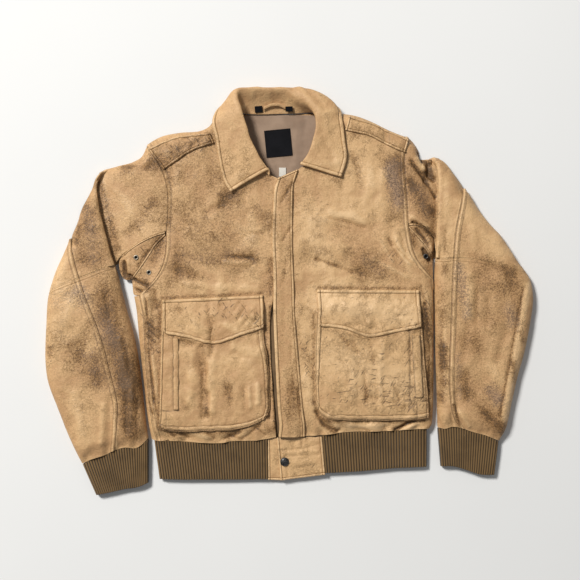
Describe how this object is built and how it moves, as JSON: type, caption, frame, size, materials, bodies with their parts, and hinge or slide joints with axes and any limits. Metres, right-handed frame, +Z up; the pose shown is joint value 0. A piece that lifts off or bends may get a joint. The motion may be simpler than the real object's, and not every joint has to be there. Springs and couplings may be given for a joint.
{
  "type": "leather flight jacket",
  "caption": "Worn tan leather flight jacket laid flat on its back, with a pointed collar, flapped patch pockets, storm flap, shoulder straps and ribbed knit hem and cuffs.",
  "frame": {"origin": "centre of the jacket's outline at the surface it lies on", "axes": "+Z up from the surface, +Y towards the collar, +X towards the sleeve at the right of the picture"},
  "size_m": [0.9168, 0.7644, 0.0352],
  "materials": {
    "worn_leather": "worn, creased, satin with dull scuffs",
    "rib_knit": "ribbed wool knit, matt",
    "lining_cloth": "smooth woven lining, soft sheen",
    "label_cloth": "matt black cloth",
    "tag_cloth": "matt off-white cloth",
    "dark_metal": "gunmetal, rubbed",
    "zip_tape": "woven dark tape"
  },
  "bodies": {
    "root": {"back": "worn_leather", "band_back": "rib_knit", "band_left": "rib_knit", "band_right": "rib_knit", "collar": "worn_leather", "cuff_left": "rib_knit", "cuff_right": "rib_knit", "epaulet_left": "worn_leather", "epaulet_right": "worn_leather", "eyelet_inner_left": "dark_metal", "eyelet_inner_right": "dark_metal", "eyelet_outer_left": "dark_metal", "front_left": "worn_leather", "front_right": "worn_leather", "gusset_inner_left": "worn_leather", "gusset_inner_right": "worn_leather", "gusset_outer_left": "worn_leather", "gusset_outer_right": "worn_leather", "hanger_end_left": "label_cloth", "hanger_end_right": "label_cloth", "hanger_strap": "worn_leather", "label": "label_cloth", "lining_neck": "lining_cloth", "pocket_flap_left": "worn_leather", "pocket_flap_right": "worn_leather", "pocket_left": "worn_leather", "pocket_right": "worn_leather", "pocket_welt_left": "worn_leather", "pocket_welt_right": "worn_leather", "size_tag": "tag_cloth", "sleeve_low_inner_left": "worn_leather", "sleeve_low_inner_right": "worn_leather", "sleeve_low_outer_left": "worn_leather", "sleeve_low_outer_right": "worn_leather", "sleeve_top_inner_left": "worn_leather", "sleeve_top_inner_right": "worn_leather", "sleeve_top_outer_left": "worn_leather", "sleeve_top_outer_right": "worn_leather", "sleeve_under_low_left": "worn_leather", "sleeve_under_low_right": "worn_leather", "sleeve_under_top_left": "worn_leather", "sleeve_under_top_right": "worn_leather", "snap": "dark_metal", "storm_flap": "worn_leather", "tab_over": "worn_leather", "tab_under": "worn_leather", "zip": "zip_tape"}
  },
  "joints": []
}
